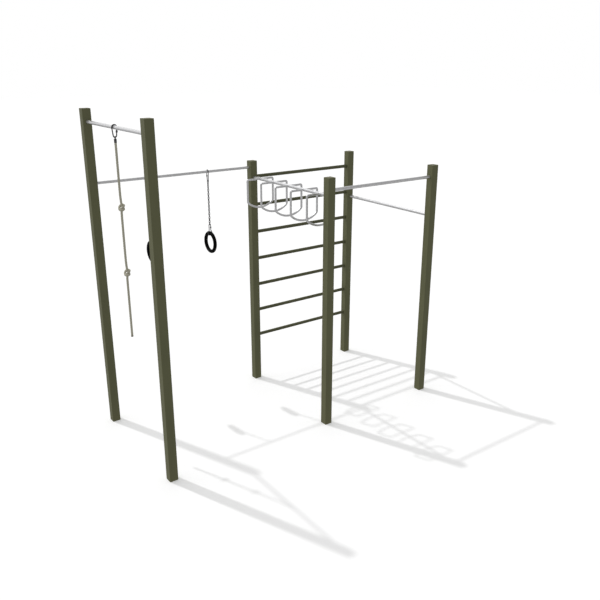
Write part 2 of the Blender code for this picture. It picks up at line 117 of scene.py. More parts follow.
RING_SECTION_RADIUS = 0.0185
RING_TUBE_TOP = 1.797
HANGER_RADIUS = RING_SECTION_RADIUS + LINK_PLAY + RING_LINK_WIRE

# Climbing rope
ROPE_RADIUS = 0.010
ROPE_TOP_Z = 2.879  # inside the ferrule
ROPE_END_Z = 1.1418
ROPE_LAY = 0.066  # length of one turn of the strands
ROPE_SPACING = 0.0028
ROPE_STRANDS = 3
ROPE_OUTER_RADIUS = 0.0104  # over the crowns of the strands
ROPE_GROOVE = 0.0016
KNOTS = ((2.322, 54.0), (1.745, 54.0))  # height, and the turn about the rope in degrees
KNOT_CONTACT = 0.84  # distance between two touching turns, in rope diameters
KNOT_SHAPE = (1.0, 1.07, 0.88)  # a pulled knot is wide and short
EYE_INNER_RADIUS = 0.007
FERRULE_RADIUS = 0.012
FERRULE_LENGTH = 0.031
FERRULE_CRIMPS = (-0.0085, 0.0, 0.0085)
SHANK_RADIUS = 0.0094
END_CAP_HEIGHT = 0.014


# Mesh making


def new_mesh(name, shapes, smooth_angle=35):
    """One mesh from (points, faces) shapes, with its faces pointing out."""
    work = bmesh.new()
    for points, faces in shapes:
        made = [work.verts.new(p) for p in points]
        for face in faces:
            work.faces.new([made[i] for i in face])
    bmesh.ops.recalc_face_normals(work, faces=work.faces)
    mesh = bpy.data.meshes.new(name)
    work.to_mesh(mesh)
    work.free()
    mesh.shade_smooth()
    mesh.set_sharp_from_angle(angle=math.radians(smooth_angle))
    return mesh


def loft(rings, cyclic=False):
    """The skin through rings of equal length, open rings closed by a face at each end."""
    count, sides = len(rings), len(rings[0])
    points = [tuple(p) for ring in rings for p in ring]
    faces = []
    for i in range(count if cyclic else count - 1):
        here, there = i * sides, (i + 1) % count * sides
        for k in range(sides):
            m = (k + 1) % sides
            faces.append((here + k, here + m, there + m, there + k))
    if not cyclic:
        faces.append(tuple(range(sides)))
        faces.append(tuple(range((count - 1) * sides, count * sides)))
    return points, faces


def circle(radius, z, sides):
    turns = [2 * math.pi * k / sides for k in range(sides)]
    return [(radius * math.cos(a), radius * math.sin(a), z) for a in turns]


def turned(profile, sides=48, cyclic=False):
    """A turned shape about Z from (radius, z) points."""
    return loft([circle(radius, z, sides) for radius, z in profile], cyclic)


def frames_along(path, cyclic):
    """A tangent and two normals at each point of a path, with no twist of their own."""
    path = np.asarray(path, float)
    if cyclic:
        tangents = np.roll(path, -1, axis=0) - np.roll(path, 1, axis=0)
    else:
        tangents = np.gradient(path, axis=0)
    tangents /= np.linalg.norm(tangents, axis=1)[:, None]
    first = Vector(tangents[0]).orthogonal().normalized()
    if abs(tangents[0][1]) < 0.9:
        first = Vector((0, 1, 0)) - Vector(tangents[0]) * tangents[0][1]
        first.normalize()
    normals = [first]
    for before, after in zip(tangents, tangents[1:]):
        turn = Vector(before).rotation_difference(Vector(after))
        normals.append((turn @ normals[-1]).normalized())
    normals = np.array([tuple(n) for n in normals])
    return path, normals, np.cross(tangents, normals)


def sweep(path, radius_at, sides, cyclic=False):
    """A rod along a path. radius_at(distance, angles) is its radius, so a rod can have lobes."""
    path, normals, others = frames_along(path, cyclic)
    steps = np.linalg.norm(np.diff(path, axis=0), axis=1)
    along = np.concatenate([[0], np.cumsum(steps)])
    angles = 2 * np.pi * np.arange(sides) / sides
    rings = []
    for point, normal, other, distance in zip(path, normals, others, along):
        radius = radius_at(distance, angles) * np.ones(sides)
        across = np.cos(angles)[:, None] * normal + np.sin(angles)[:, None] * other
        rings.append(point + radius[:, None] * across)
    return loft(rings, cyclic)


def rod(path, radius, sides=20, cyclic=False):
    return sweep(path, lambda distance, angles: radius, sides, cyclic)


def arc(centre, radius, start, end, steps):
    """Points in the XZ plane, from the angle start to the angle end, in degrees."""
    turns = [math.radians(start + (end - start) * i / steps) for i in range(steps + 1)]
    return [(centre[0] + radius * math.cos(a), 0, centre[1] + radius * math.sin(a)) for a in turns]


def middle(node):
    low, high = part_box(node)
    return (low + high) / 2


def add_piece(name, mesh, look, body, nodes, place=(0, 0, 0), turn=(0, 0, 0)):
    """A piece that stands for the CAD nodes and rides on the body."""
    mesh.materials.append(look)
    piece = bpy.data.objects.new(name, mesh)
    piece.location = place
    piece.rotation_euler = turn
    bpy.context.scene.collection.objects.link(piece)
    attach(piece, body)
    if nodes:
        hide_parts(*nodes)
    return piece


# Materials


def new_look(name, roughness, metallic):
    look = bpy.data.materials.new(name)
    look.use_nodes = True
    shader = look.node_tree.nodes["Principled BSDF"]
    shader.inputs["Roughness"].default_value = roughness
    shader.inputs["Metallic"].default_value = metallic
    return look, look.node_tree, shader


def noise(tree, scale, detail=3.0, stretch=(1, 1, 1), source="Object"):
    """Noise in the piece's own space, drawn out along the axes with a small stretch value."""
    place = tree.nodes.new("ShaderNodeTexCoord")
    mapping = tree.nodes.new("ShaderNodeMapping")
    mapping.inputs["Scale"].default_value = stretch
    made = tree.nodes.new("ShaderNodeTexNoise")
    made.inputs["Scale"].default_value = scale
    made.inputs["Detail"].default_value = detail
    tree.links.new(place.outputs[source], mapping.inputs["Vector"])
    tree.links.new(mapping.outputs["Vector"], made.inputs["Vector"])
    return made.outputs["Fac"]


def spangle(tree, scale):
    """Zinc crystals: a random value for each cell."""
    place = tree.nodes.new("ShaderNodeTexCoord")
    cells = tree.nodes.new("ShaderNodeTexVoronoi")
    cells.inputs["Scale"].default_value = scale
    grey = tree.nodes.new("ShaderNodeRGBToBW")
    tree.links.new(place.outputs["Object"], cells.inputs["Vector"])
    tree.links.new(cells.outputs["Color"], grey.inputs["Color"])
    return grey.outputs["Val"]


def ramp(tree, value, stops):
    """Colours along a value, from (position, colour) stops."""
    made = tree.nodes.new("ShaderNodeValToRGB")
    elements = made.color_ramp.elements
    while len(elements) < len(stops):
        elements.new(0.5)
    for element, (position, colour) in zip(elements, stops):
        element.position = position
        element.color = (*colour, 1)
    tree.links.new(value, made.inputs["Fac"])
    return made.outputs["Color"]


def mixed(tree, factor, first, second, blend="MIX"):
    """Two colours mixed by a number or a socket."""
    made = tree.nodes.new("ShaderNodeMix")
    made.data_type = "RGBA"
    made.blend_type = blend
    if isinstance(factor, float):
        made.inputs["Factor"].default_value = factor
    else:
        tree.links.new(factor, made.inputs["Factor"])
    for socket, colour in ((made.inputs[6], first), (made.inputs[7], second)):
        if isinstance(colour, tuple):
            socket.default_value = (*colour, 1)
        else:
            tree.links.new(colour, socket)
    return made.outputs[2]


def spread(tree, value, low, high):
    """The value, from 0 to 1, brought to low to high."""
    made = tree.nodes.new("ShaderNodeMapRange")
    made.inputs["To Min"].default_value = low
    made.inputs["To Max"].default_value = high
    tree.links.new(value, made.inputs["Value"])
    return made.outputs["Result"]


def bumps(tree, shader, heights):
    """Bump from (height, strength, distance) layers, chained."""
    before = None
    for height, strength, distance in heights:
        made = tree.nodes.new("ShaderNodeBump")
        made.inputs["Strength"].default_value = strength
        made.inputs["Distance"].default_value = distance
        tree.links.new(height, made.inputs["Height"])
        if before:
            tree.links.new(before, made.inputs["Normal"])
        before = made.outputs["Normal"]
    tree.links.new(before, shader.inputs["Normal"])


def height_in_piece(tree):
    place = tree.nodes.new("ShaderNodeTexCoord")
    parts = tree.nodes.new("ShaderNodeSeparateXYZ")
    tree.links.new(place.outputs["Object"], parts.inputs["Vector"])
    return parts.outputs["Z"]


def paint_look(name, light, dark, painted_foot_bounce):
    """Satin powder coat: faint clouds and lengthwise streaks, orange peel, and at the foot a painted
    warm floor bounce.
    """
    look, tree, shader = new_look(name, 0.5, 0.0)
    clouds = noise(tree, 9.0, 4.0, (1, 1, 0.25))
    streaks = noise(tree, 60.0, 2.0, (1, 1, 0.03))
    colour = ramp(tree, clouds, ((0.3, dark), (0.7, light)))
    colour = mixed(tree, spread(tree, streaks, 0.0, 0.22), colour, dark)
    if painted_foot_bounce:
        # Painted light: below 0.35 m the colour turns warmer and a little darker, as bounce light off
        # the floor would tint it.
        near_ground = tree.nodes.new("ShaderNodeMapRange")
        near_ground.inputs["From Min"].default_value = 0.35
        near_ground.inputs["From Max"].default_value = 0.0
        near_ground.inputs["To Max"].default_value = 0.30
        tree.links.new(height_in_piece(tree), near_ground.inputs["Value"])
        colour = mixed(tree, near_ground.outputs["Result"], colour, (0.16, 0.145, 0.07))
    tree.links.new(colour, shader.inputs["Base Color"])
    tree.links.new(spread(tree, clouds, 0.42, 0.6), shader.inputs["Roughness"])
    shader.inputs["Specular IOR Level"].default_value = 0.2
    bumps(tree, shader, ((noise(tree, 700.0, 2.0), 0.12, 0.0004), (clouds, 0.08, 0.002)))
    return look


def zinc_look(name, light, dark, metallic, roughness, cell_scale):
    """Hot-dip zinc: crystals of slightly different greys, with a fine grain."""
    look, tree, shader = new_look(name, roughness, metallic)
    cells = spangle(tree, cell_scale)
    clouds = noise(tree, 14.0, 3.0)
    colour = ramp(tree, cells, ((0.15, dark), (0.85, light)))
    colour = mixed(tree, spread(tree, clouds, 0.0, 0.45), colour, dark)
    tree.links.new(colour, shader.inputs["Base Color"])
    rough = spread(tree, cells, roughness - 0.07, roughness + 0.09)
    tree.links.new(rough, shader.inputs["Roughness"])
    bumps(tree, shader, ((noise(tree, 900.0, 2.0), 0.10, 0.0003), (cells, 0.05, 0.0004)))
    return look


def rubber_look():
    """Matt black rubber with a fine grain and a trace of dust."""
    look, tree, shader = new_look("ring_rubber", 0.62, 0.0)
    dust = noise(tree, 25.0, 5.0)
    tree.links.new(
        ramp(tree, dust, ((0.45, (0.0015, 0.0015, 0.0015)), (0.8, (0.004, 0.004, 0.0037)))),
        shader.inputs["Base Color"],
    )
    tree.links.new(spread(tree, dust, 0.5, 0.75), shader.inputs["Roughness"])
    shader.inputs["Specular IOR Level"].default_value = 0.06
    bumps(tree, shader, ((noise(tree, 1100.0, 3.0), 0.25, 0.0004),))
    return look


def rope_look(name, light, dark, yarns):
    """Laid rope: yarns nearly along the rope, drawn in the map of turns and length."""
    look, tree, shader = new_look(name, 0.9, 0.0)
    place = tree.nodes.new("ShaderNodeUVMap")
    place.uv_map = "rope"
    lines = tree.nodes.new("ShaderNodeTexWave")
    lines.bands_direction = "X"
    lines.inputs["Scale"].default_value = yarns
    lines.inputs["Distortion"].default_value = 1.2
    lines.inputs["Detail"].default_value = 2.0
    tree.links.new(place.outputs["UV"], lines.inputs["Vector"])
    clouds = noise(tree, 45.0, 4.0)
    fibres = noise(tree, 900.0, 3.0, (1, 1, 0.25))
    colour = ramp(tree, lines.outputs["Fac"], ((0.1, dark), (0.75, light)))
    colour = mixed(tree, spread(tree, clouds, 0.0, 0.35), colour, dark)
    colour = mixed(tree, spread(tree, fibres, 0.0, 0.4), colour, light)
    tree.links.new(colour, shader.inputs["Base Color"])
    bumps(tree, shader, ((lines.outputs["Fac"], 0.5, 0.0008), (fibres, 0.35, 0.0006)))
    return look


# Camera, floor and light


def add_camera():
    camera = bpy.data.objects.new("camera", bpy.data.cameras.new("camera"))
    camera.location = CAMERA_PLACE
    camera.rotation_euler = CAMERA_TURN
    camera.data.lens = CAMERA_LENS
    camera.data.sensor_width = 36.0
    bpy.context.scene.collection.objects.link(camera)
    bpy.context.scene.camera = camera


def add_sun():
    lamp = bpy.data.lights.new("sun", "SUN")
    lamp.energy = SUN_STRENGTH
    lamp.angle = math.radians(SUN_DEGREES)
    sun = bpy.data.objects.new("sun", lamp)
    sun.rotation_euler = SUN_TRAVEL.to_track_quat("-Z", "Y").to_euler()
    bpy.context.scene.collection.objects.link(sun)


def add_sky():
    """White to the eye. It lights the object as a studio does, from behind, with a dim floor."""
    world = bpy.data.worlds.new("studio")
    bpy.context.scene.world = world
    world.use_nodes = True
    tree = world.node_tree
    place = tree.nodes.new("ShaderNodeTexCoord")
    toward = tree.nodes.new("ShaderNodeVectorMath")
    toward.operation = "DOT_PRODUCT"
    toward.inputs[1].default_value = BRIGHT_SIDE
    tree.links.new(place.outputs["Generated"], toward.inputs[0])
    around = tree.nodes.new("ShaderNodeMapRange")
    around.inputs["From Min"].default_value = -1.0
    tree.links.new(toward.outputs["Value"], around.inputs["Value"])
    upper = ramp(tree, around.outputs["Result"], [(at, (v, v, v)) for at, v in SKY_LEVELS])
    parts = tree.nodes.new("ShaderNodeSeparateXYZ")
    tree.links.new(place.outputs["Generated"], parts.inputs["Vector"])
    above = tree.nodes.new("ShaderNodeMapRange")
    above.inputs["From Min"].default_value = -HORIZON_BLEND
    above.inputs["From Max"].default_value = HORIZON_BLEND
    tree.links.new(parts.outputs["Z"], above.inputs["Value"])
    light = mixed(tree, above.outputs["Result"], (GROUND_LEVEL,) * 3, upper)
    rays = tree.nodes.new("ShaderNodeLightPath")
    seen = mixed(tree, rays.outputs["Is Camera Ray"], light, (1.0, 1.0, 1.0))
    tree.links.new(seen, tree.nodes["Background"].inputs["Color"])


def add_studio():
    bpy.context.scene.view_settings.view_transform = "Standard"
    add_sky()
    add_sun()

    half = FLOOR_HALF
    corners = [(-half, -half, 0), (half, -half, 0), (half, half, 0), (-half, half, 0)]
    floor = bpy.data.objects.new("floor", new_mesh("floor", [(corners, [(0, 1, 2, 3)])]))
    look, _, shader = new_look("studio_floor", 1.0, 0.0)
    shader.inputs["Base Color"].default_value = (0.9, 0.9, 0.9, 1)
    shader.inputs["Specular IOR Level"].default_value = 0.0
    shader.inputs["Emission Color"].default_value = (1, 1, 1, 1)
    shader.inputs["Emission Strength"].default_value = FLOOR_GLOW
    floor.data.materials.append(look)
    floor.visible_diffuse = False
    floor.visible_glossy = False
    bpy.context.scene.collection.objects.link(floor)


# Climbing rope


def tied_knot():
    """The centre line of an overhand knot in a rope along Z, in rope diameters. A loose open trefoil
    is pulled tight: its ends move apart while its turns keep their length and their distance."""
    count = 72
    step = 0.32
    rounds = 1700
    t = np.linspace(-2.05, 2.05, 2000)
    loose = np.stack([t**3 - 3 * t, 0.9 * (t**4 - 4 * t**2), 0.42 * (t**5 - 10 * t)], 1)
    loose[:, 1] -= loose[:, 1].min() / 2
    lengths = np.linalg.norm(np.diff(loose, axis=0), axis=1)
    along = np.concatenate([[0], np.cumsum(lengths)])
    even = np.linspace(0, along[-1], count)
    line = np.stack([np.interp(even, along, loose[:, k]) for k in range(3)], 1)
    line *= step * (count - 1) / along[-1]

    first, second = np.triu_indices(count, 4)
    apart = np.minimum(KNOT_CONTACT, 0.8 * step * (second - first))
    outward = np.sign(line[-1, 2] - line[0, 2])
    for i in range(rounds):
        pull = 0.02 if i < 0.75 * rounds else 0.004
        line[0] = (0.9 * line[0, 0], 0.9 * line[0, 1], line[0, 2] - outward * pull)
        line[-1] = (0.9 * line[-1, 0], 0.9 * line[-1, 1], line[-1, 2] + outward * pull)
        line[1:-1] += 0.12 * ((line[:-2] + line[2:]) / 2 - line[1:-1])
        for _ in range(6):
            gaps = line[1:] - line[:-1]
            long = np.linalg.norm(gaps, axis=1)[:, None]
            shift = gaps / long * (long - step) / 2
            line[:-1] += shift
            line[1:] -= shift
            between = line[first] - line[second]
            far = np.linalg.norm(between, axis=1)
            near = far < apart
            push = between[near] / far[near][:, None] * ((apart - far)[near] / 2)[:, None]
            moved, hits = np.zeros_like(line), np.zeros(count)
            np.add.at(moved, first[near], push)
            np.add.at(moved, second[near], -push)
            np.add.at(hits, np.concatenate([first[near], second[near]]), 1)
            line += 1.2 * moved / np.maximum(hits, 1)[:, None]
    return line if line[0, 2] > line[-1, 2] else line[::-1]


def rope_route(x, y):
    """The rope's centre line from the ferrule down: straight, with a tied knot at each knot's height."""
    knot = tied_knot() * 2 * ROPE_RADIUS
    off_axis = np.hypot(knot[:, 0], knot[:, 1]) > 0.0012
    first, last = np.nonzero(off_axis)[0][[0, -1]]
    knot = knot[first - 1 : last + 2]
    knot[:, 2] -= (knot[0, 2] + knot[-1, 2]) / 2
    knot *= KNOT_SHAPE
    points = [np.array((0, 0, ROPE_TOP_Z))]
    for height, degrees in KNOTS:
        turn = np.array(Matrix.Rotation(math.radians(degrees), 3, "Z"))
        points.extend(knot @ turn.T + (0, 0, height))
    points.append(np.array((0, 0, ROPE_END_Z)))
    return smooth_line(np.array(points) + (x, y, 0), ROPE_SPACING)


def smooth_line(points, spacing):
    """Even points on a Catmull-Rom curve through the given ones."""
    fine = []
    ends = [2 * points[0] - points[1], *points, 2 * points[-1] - points[-2]]
    for a, b, c, d in zip(ends, ends[1:], ends[2:], ends[3:]):
        # Knots of the curve by centripetal distance, so that a long straight run beside short steps
        # doesn't overshoot
        t1 = np.linalg.norm(b - a) ** 0.5
        t2 = t1 + np.linalg.norm(c - b) ** 0.5
        t3 = t2 + np.linalg.norm(d - c) ** 0.5
        steps = max(2, int(np.linalg.norm(c - b) / 0.0008))
        for t in np.linspace(t1, t2, steps, endpoint=False):
            ab = (t1 - t) / t1 * a + t / t1 * b
            bc = (t2 - t) / (t2 - t1) * b + (t - t1) / (t2 - t1) * c
            cd = (t3 - t) / (t3 - t2) * c + (t - t2) / (t3 - t2) * d
            abc = (t2 - t) / t2 * ab + t / t2 * bc
            bcd = (t3 - t) / (t3 - t1) * bc + (t - t1) / (t3 - t1) * cd
            fine.append((t2 - t) / (t2 - t1) * abc + (t - t1) / (t2 - t1) * bcd)
    fine.append(points[-1])
    fine = np.array(fine)
    along = np.concatenate([[0], np.cumsum(np.linalg.norm(np.diff(fine, axis=0), axis=1))])
    even = np.linspace(0, along[-1], int(along[-1] / spacing) + 1)
    return np.stack([np.interp(even, along, fine[:, k]) for k in range(3)], 1)


def strand_radius(distance, angles):
    """Three round strands laid round each other: the rope's radius at an angle."""
    phase = ROPE_STRANDS * (angles - 2 * np.pi * distance / ROPE_LAY)
    return ROPE_OUTER_RADIUS - ROPE_GROOVE * (1 - np.abs(np.cos(phase / 2)) ** 0.8)


def add_rope_map(mesh, sides, rings):
    """A map whose U follows the strands round the rope, and whose V is the length along it."""
    layer = mesh.uv_layers.new(name="rope")
    for face in mesh.polygons:
        corners = [mesh.loops[i].vertex_index for i in face.loop_indices]
        across = [v % sides for v in corners]
        wraps = max(across) - min(across) > sides / 2
        for loop, v, k in zip(face.loop_indices, corners, across):
            u = (k + sides * (wraps and k < sides / 2)) / sides
            length = v // sides * ROPE_SPACING
            layer.data[loop].uv = (u + 0.5 * length / ROPE_LAY, length)


def add_rope(look):
    place = middle("rope_beam")
    route = rope_route(place.x, place.y)
    sides = 30
    mesh = new_mesh("laid_rope", [sweep(route, strand_radius, sides)], 60)
    add_rope_map(mesh, sides, len(route))
    nodes = ("climbing_rope", "rope_knot_upper", "rope_knot_lower")
    rope = add_piece("laid_rope", mesh, look, "rope", nodes)
    length = float(np.linalg.norm(np.diff(route, axis=0), axis=1).sum())
    return rope, route, length


def add_rope_end(look):
    """The sealed end: a melted sleeve that has taken the strands' shape, with a rounded tip."""
    place = middle("rope_end_cap")
    low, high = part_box("rope_end_cap")
    profile = [(0.0, 0.004), (0.0004, 0.0075), (0.0012, 0.0094), (0.0026, 0.0104)]
    profile += [(0.006, 0.0107), (END_CAP_HEIGHT - 0.001, 0.0107), (END_CAP_HEIGHT, 0.0101)]
    sides = 36
    angles = 2 * np.pi * np.arange(sides) / sides
    rings = []
    for z, radius in profile:
        lobes = 1 - 0.035 * np.abs(np.sin(1.5 * (angles + 2 * np.pi * z / ROPE_LAY)))
        reach = radius * lobes
        rings.append([(r * math.cos(a), r * math.sin(a), z) for a, r in zip(angles, reach)])
    mesh = new_mesh("sealed_rope_end", [loft(rings)], 50)
    at = (place.x, place.y, low.z)
    return add_piece("sealed_rope_end", mesh, look, "rope", ["rope_end_cap"], at)


def add_ferrule(look):
    """A pressed sleeve with three crimps, under a rounded collar."""
    place = middle("rope_ferrule")
    half = FERRULE_LENGTH / 2
    bore = ROPE_RADIUS + GAP
    profile = [(bore, -half), (FERRULE_RADIUS - 0.0008, -half), (FERRULE_RADIUS, -half + 0.0008)]
    for crimp in FERRULE_CRIMPS:
        profile += [
            (FERRULE_RADIUS, crimp - 0.0030),
            (FERRULE_RADIUS - 0.0007, crimp - 0.0020),
            (FERRULE_RADIUS - 0.0009, crimp),
            (FERRULE_RADIUS - 0.0007, crimp + 0.0020),
            (FERRULE_RADIUS, crimp + 0.0030),
        ]
    profile += [(FERRULE_RADIUS, half - 0.0008), (FERRULE_RADIUS - 0.0008, half), (bore, half)]
    mesh = new_mesh("pressed_ferrule", [turned(profile, 48, True)])
    at = (place.x, place.y, place.z)
    add_piece("pressed_ferrule", mesh, look, "rope", ["rope_ferrule"], at)


def add_eye(look):
    """A forged eye: a round ring that runs down into a shouldered shank."""
    low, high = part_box("rope_eye")
    place = middle("rope_eye")
    radius = EYE_INNER_RADIUS + WIRE_RADIUS
    centre_z = high.z - radius - WIRE_RADIUS
    ring_path = [(0, p[0], p[2]) for p in arc((0, 0), radius, 0, 352.5, 47)]
    shank_top = -radius + 0.0012
    shank_low = low.z - centre_z
    profile = [(0.0030, shank_top), (0.0042, shank_top - 0.0012), (0.0066, shank_top - 0.0030)]
    profile += [(SHANK_RADIUS - 0.0006, shank_top - 0.0042), (SHANK_RADIUS, shank_top - 0.0052)]
    profile += [(SHANK_RADIUS, shank_low + 0.0006), (SHANK_RADIUS - 0.0006, shank_low)]
    mesh = new_mesh("forged_eye", [rod(ring_path, WIRE_RADIUS, 20, True), turned(profile, 40)])
    at = (place.x, place.y, centre_z)
    add_piece("forged_eye", mesh, look, "rope", ["rope_eye"], at)


# Posts, caps, bars and rungs


def rounded_square(side, corner, z, steps=8):
    points = []
    for quarter in range(4):
        centre = math.pi / 4 + quarter * math.pi / 2
        offset = (side / 2 - corner) * math.sqrt(2)
        x, y = offset * math.cos(centre), offset * math.sin(centre)
        for step in range(steps + 1):
            turn = quarter * math.pi / 2 + step * math.pi / 2 / steps
            points.append((x + corner * math.cos(turn), y + corner * math.sin(turn), z))
    return points


def drilled(mesh, holes):
    """The mesh with round holes, each (place, axis, radius), through the wall at that place."""
    target = bpy.data.objects.new("target", mesh)
    bpy.context.scene.collection.objects.link(target)
    plugs = []
    for at, axis, radius in holes:
        rings = [circle(radius, z, 48) for z in (-0.008, 0.008)]
        turn = Vector(axis).to_track_quat("Z", "X").to_matrix()
        moved = [[tuple(turn @ Vector(p) + Vector(at)) for p in ring] for ring in rings]
        plugs.append(loft(moved))
    cutter = bpy.data.objects.new("cutter", new_mesh("cutter", plugs))
    bpy.context.scene.collection.objects.link(cutter)
    step = target.modifiers.new("holes", "BOOLEAN")
    step.object = cutter
    step.solver = "EXACT"
    evaluated = target.evaluated_get(bpy.context.evaluated_depsgraph_get())
    result = bpy.data.meshes.new_from_object(evaluated)
    for used in (target, cutter):
        bpy.data.objects.remove(used)
    result.materials.clear()
    result.shade_smooth()
    result.set_sharp_from_angle(angle=math.radians(30))
    return result


def even_normals(piece):
    """Keeps the flat faces flat beside the rounded corners."""
    piece.modifiers.new("even_normals", "WEIGHTED_NORMAL").keep_sharp = True


def bar_ends():
    """For each post, the holes that its bars end in, as (place in the post's space, axis, radius)."""
    bars = dict(BAR_DIAMETERS)
    bars.update({f"ladder_rung_{i + 1}": RUNG_DIAMETER for i in range(RUNG_COUNT)})
    posts = [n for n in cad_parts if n.startswith("post_")]
    holes = {post: [] for post in posts}
    for bar, diameter in bars.items():
        low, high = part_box(bar)
        along = max(range(3), key=lambda k: high[k] - low[k])
        axis = Vector([float(k == along) for k in range(3)])
        for post in posts:
            centre = middle(post)
            away = middle(bar) - Vector((centre.x, centre.y, middle(bar).z))
            side = away - axis * away.dot(axis)
            reaches = (high[along] - low[along]) / 2 + POST_SIDE / 2 > abs(away.dot(axis))
            if side.length > 0.01 or not reaches:
                continue
            toward = axis * math.copysign(1, away.dot(axis))
            at = toward * (POST_SIDE / 2 - POST_WALL / 2) + Vector((0, 0, middle(bar).z))
            holes[post].append((at, toward, diameter / 2 + GAP))
    return holes


def add_posts(look):
    for post, holes in bar_ends().items():
        low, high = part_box(post)
        place = post.removeprefix("post_")
        inner = POST_SIDE - 2 * POST_WALL
        rings = [rounded_square(POST_SIDE, POST_CORNER, z) for z in (0, high.z - low.z)]
        rings += [rounded_square(inner, POST_CORNER - POST_WALL, z) for z in (high.z - low.z, 0)]
        mesh = drilled(new_mesh(post + "_painted", [loft(rings, True)]), holes)
        centre = middle(post)
        at = (centre.x, centre.y, low.z)
        piece = add_piece(post + "_painted", mesh, look, "frame", [post], at)
        even_normals(piece)

        cap = "cap_" + place
        mesh = new_mesh(cap + "_painted", [cap_shape()])
        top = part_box(cap)[1].z
        at = (centre.x, centre.y, top)
        even_normals(add_piece(cap + "_painted", mesh, look, "frame", [cap], at))


def cap_shape():
    """A closing plate with softly rounded edges, and the skirt that holds it in the tube."""
    skirt = POST_SIDE - 2 * POST_WALL - 2 * GAP
    inside = skirt - 2 * CAP_SKIRT_WALL
    edge = CAP_EDGE
    rings = [rounded_square(inside, 0.001, -CAP_THICKNESS)]
    rings.append(rounded_square(inside, 0.001, CAP_SKIRT_LOW))
    rings.append(rounded_square(skirt, 0.002, CAP_SKIRT_LOW))
    rings.append(rounded_square(skirt, 0.002, -CAP_THICKNESS))
    rings.append(rounded_square(POST_SIDE, POST_CORNER, -CAP_THICKNESS))
    for step in range(5):
        turn = step * math.pi / 8
        inset = edge * (1 - math.cos(turn))
        z = -edge + edge * math.sin(turn)
        rings.append(rounded_square(POST_SIDE - 2 * inset, POST_CORNER - inset, z))
    return loft(rings)


def bar_shape(node, diameter):
    """A tube of the node's length about its own middle, along Z, and the turn that lays it down."""
    low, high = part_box(node)
    along = max(range(3), key=lambda k: high[k] - low[k])
    half = (high[along] - low[along]) / 2
    outer = diameter / 2
    profile = [(outer - BAR_EDGE, -half), (outer, -half + BAR_EDGE), (outer, half - BAR_EDGE)]
    profile += [(outer - BAR_EDGE, half), (outer - BAR_WALL, half), (outer - BAR_WALL, -half)]
    turn = (0, math.pi / 2, 0) if along == 0 else (-math.pi / 2, 0, 0)
    return turned(profile, 48, True), turn


def weld_ring(radius, z):
    """A weld bead round a bar, with the ripple that a bead has."""
    path = [(radius * math.cos(a), radius * math.sin(a), z) for a in np.linspace(0, 2 * np.pi, 73)[:-1]]
    ripple = WELD_RIPPLES / radius
    return sweep(path, lambda d, angles: WELD_RADIUS * (1 + 0.07 * math.sin(ripple * d)), 12, True)


def add_bars(zinc, paint):
    for node, diameter in BAR_DIAMETERS.items():
        if node == "grip_spine":
            continue
        tube, turn = bar_shape(node, diameter)
        mesh = new_mesh(node + "_zinc", [tube])
        add_piece(node + "_zinc", mesh, zinc, "frame", [node], middle(node), turn)
    # The rungs and their weld beads take the darker paint passed in, which is painted shade.
    for i in range(RUNG_COUNT):
        node = f"ladder_rung_{i + 1}"
        tube, turn = bar_shape(node, RUNG_DIAMETER)
        face = middle("post_end_back").x - POST_SIDE / 2 - middle(node).x
        beads = [weld_ring(RUNG_DIAMETER / 2, z) for z in (-face, face)]
        mesh = new_mesh(node + "_painted", [tube, *beads])
        add_piece(node + "_painted", mesh, paint, "frame", [node], middle(node), turn)


# Hand grips


def fillet(path, bends, steps=8):
    """The closed path of XZ points with the corners in bends {index: radius} rounded."""
    rounded = []
    for i, corner in enumerate(path):
        if i not in bends:
            rounded.append(corner)
            continue
        point = Vector(corner)
        into = (point - Vector(path[i - 1])).normalized()
        out = (Vector(path[(i + 1) % len(path)]) - point).normalized()
        half_turn = into.angle(out) / 2
        centre = point + (out - into).normalized() * bends[i] / math.cos(half_turn)
        spoke = point - into * bends[i] * math.tan(half_turn) - centre
        axis = into.cross(out)
        for step in range(steps + 1):
            turn = Matrix.Rotation(2 * half_turn * step / steps, 3, axis)
            rounded.append(tuple(centre + turn @ spoke))
    return rounded


def grip_path():
    belly_radius = (GRIP_HALF_WIDTH**2 + GRIP_BELLY**2) / (2 * GRIP_BELLY)
    half_angle = math.degrees(math.asin(GRIP_HALF_WIDTH / belly_radius))
    centre = (0, belly_radius - GRIP_SIDE_HEIGHT - GRIP_BELLY)
    belly = arc(centre, belly_radius, 270 - half_angle, 270 + half_angle, 12)
    corners = [(GRIP_HALF_WIDTH, 0, 0), (-GRIP_HALF_WIDTH, 0, 0)]
    last = len(belly) + 1
    bends = {0: GRIP_TOP_BEND, 1: GRIP_TOP_BEND, 2: GRIP_LOWER_BEND, last: GRIP_LOWER_BEND}
    return fillet(corners + belly, bends)


def saddle_weld(side):
    """The bead where the rod goes into the round spine, on its +X or -X side."""
    radius = GRIP_ROD_RADIUS + 0.0006
    spine = BAR_DIAMETERS["grip_spine"] / 2
    path = []
    for a in np.linspace(0, 2 * np.pi, 61)[:-1]:
        y, z = radius * math.cos(a), radius * math.sin(a)
        path.append((side * math.sqrt(spine**2 - z**2), y, z))
    return sweep(path, lambda d, angles: 0.0019 * (1 + 0.08 * math.sin(900 * d)), 10, True)


def add_grips(look):
    spine = middle("grip_spine")
    tube, turn = bar_shape("grip_spine", BAR_DIAMETERS["grip_spine"])
    mesh = new_mesh("grip_spine_zinc", [tube])
    add_piece("grip_spine_zinc", mesh, look, "frame", ["grip_spine"], spine, turn)
    for i in range(GRIP_COUNT):
        node = f"hand_grip_{i + 1}"
        at = (spine.x, middle(node).y, spine.z)
        loop = rod(grip_path(), GRIP_ROD_RADIUS, 24, True)
        mesh = new_mesh(node + "_zinc", [loop, saddle_weld(1), saddle_weld(-1)])
        add_piece(node + "_zinc", mesh, look, "frame", [node], at)


# Screw links, chains and rings


